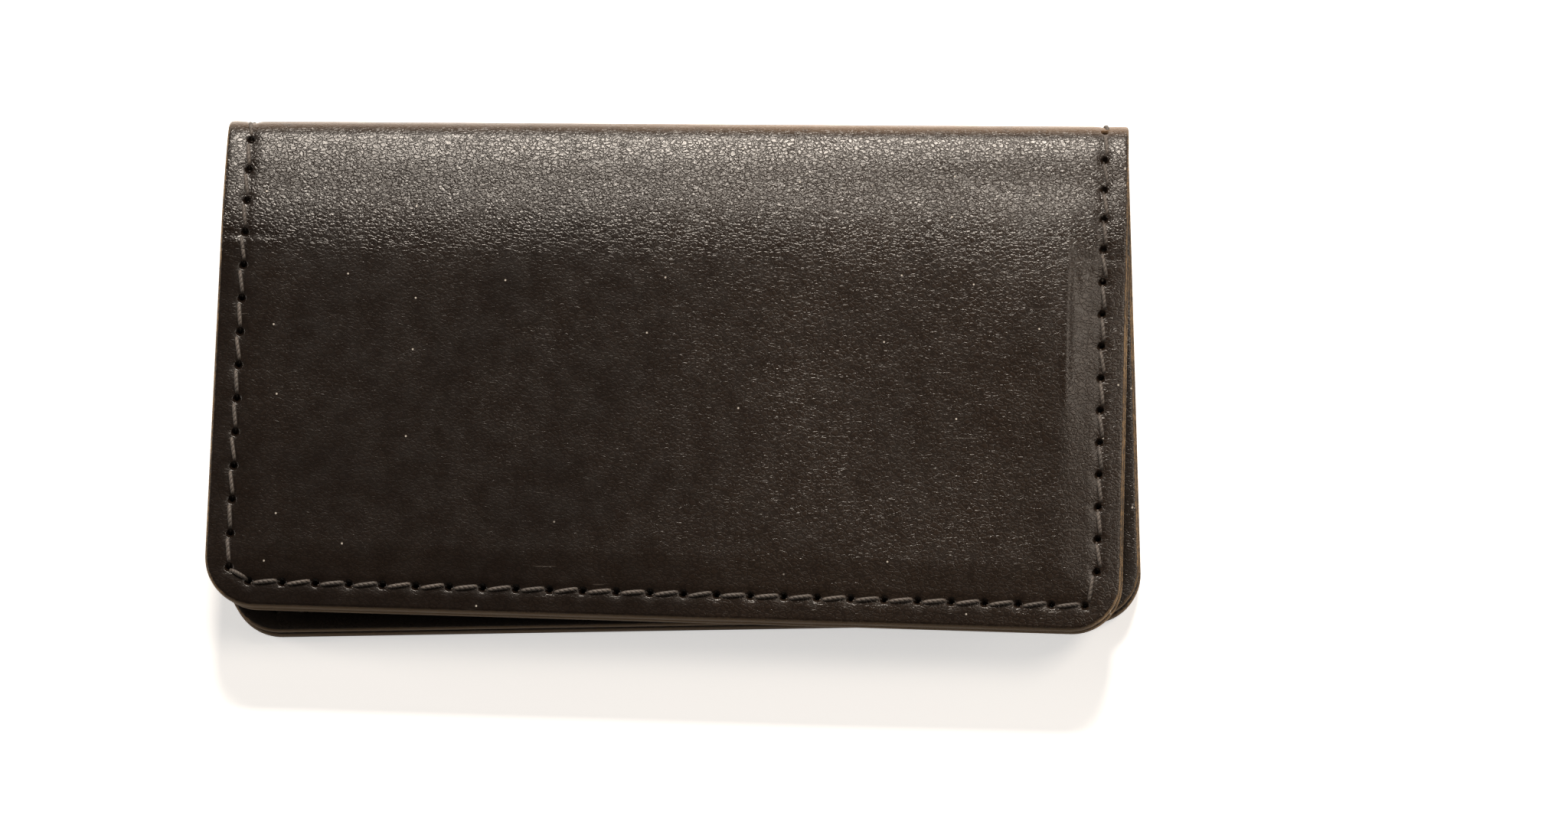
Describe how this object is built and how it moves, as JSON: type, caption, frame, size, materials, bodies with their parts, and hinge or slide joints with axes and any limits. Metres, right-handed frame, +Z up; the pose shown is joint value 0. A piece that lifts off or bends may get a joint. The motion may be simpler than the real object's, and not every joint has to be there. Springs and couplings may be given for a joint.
{
  "type": "business card case",
  "caption": "Folded leather case for business cards, with a sewn pocket inside each half and stitching all round.",
  "frame": {"origin": "on the surface that the closed case lies on, below the middle of its box", "axes": "+X along the fold, +Y towards the fold, +Z up through the thickness from the back half to the front half"},
  "size_m": [0.1106, 0.0626, 0.0093],
  "materials": {
    "cover_leather": "pebble-grained dark brown leather, semi-matt, with burnished edges",
    "pocket_leather": "finer grained dark brown leather, semi-matt, with burnished edges",
    "thread": "waxed twisted thread, dark grey-brown"
  },
  "bodies": {
    "back_half": {"cover_back": "cover_leather", "pocket_back_panel": "pocket_leather", "pocket_back_margin": "pocket_leather", "thread_back": "thread"},
    "fold_1": {"cover_fold_1": "cover_leather", "thread_fold_1": "thread"},
    "fold_2": {"cover_fold_2": "cover_leather", "thread_fold_2": "thread"},
    "fold_3": {"cover_fold_3": "cover_leather", "thread_fold_3": "thread"},
    "fold_4": {"cover_fold_4": "cover_leather", "thread_fold_4": "thread"},
    "fold_5": {"cover_fold_5": "cover_leather", "thread_fold_5": "thread"},
    "shoulder": {"cover_shoulder": "cover_leather", "thread_shoulder": "thread"},
    "front_half": {"cover_front": "cover_leather", "pocket_front_panel": "pocket_leather", "pocket_front_margin": "pocket_leather", "thread_front": "thread"}
  },
  "joints": [
    {"name": "cover_opening", "type": "hinge", "parent": "back_half", "child": "fold_1", "pos_m": [0, 0.02781, 0], "axis": [-1, 0, 0], "range_deg": [0, 16.61]},
    {"name": "fold_bend_1", "type": "hinge", "parent": "fold_1", "child": "fold_2", "pos_m": [0, 0.02973, 0.00057], "axis": [-1, 0, 0], "range_deg": [0, 33.23]},
    {"name": "fold_bend_2", "type": "hinge", "parent": "fold_2", "child": "fold_3", "pos_m": [0, 0.03102, 0.0021], "axis": [-1, 0, 0], "range_deg": [0, 33.23]},
    {"name": "fold_bend_3", "type": "hinge", "parent": "fold_3", "child": "fold_4", "pos_m": [0, 0.03126, 0.00409], "axis": [-1, 0, 0], "range_deg": [0, 33.23]},
    {"name": "fold_bend_4", "type": "hinge", "parent": "fold_4", "child": "fold_5", "pos_m": [0, 0.03037, 0.00588], "axis": [-1, 0, 0], "range_deg": [0, 33.23]},
    {"name": "fold_bend_5", "type": "hinge", "parent": "fold_5", "child": "shoulder", "pos_m": [0, 0.02865, 0.0069], "axis": [-1, 0, 0], "range_deg": [0, 16.62]},
    {"name": "shoulder_bend", "type": "hinge", "parent": "shoulder", "child": "front_half", "pos_m": [0, 0.01894, 0.0093], "axis": [-1, 0, 0], "range_deg": [0, 13.91]}
  ],
  "couplings": [
    {"joint": "fold_bend_1", "follows": "cover_opening", "ratio": 2},
    {"joint": "fold_bend_2", "follows": "cover_opening", "ratio": 2},
    {"joint": "fold_bend_3", "follows": "cover_opening", "ratio": 2},
    {"joint": "fold_bend_4", "follows": "cover_opening", "ratio": 2},
    {"joint": "fold_bend_5", "follows": "cover_opening", "ratio": 1},
    {"joint": "shoulder_bend", "follows": "cover_opening", "ratio": 0.83693}
  ]
}
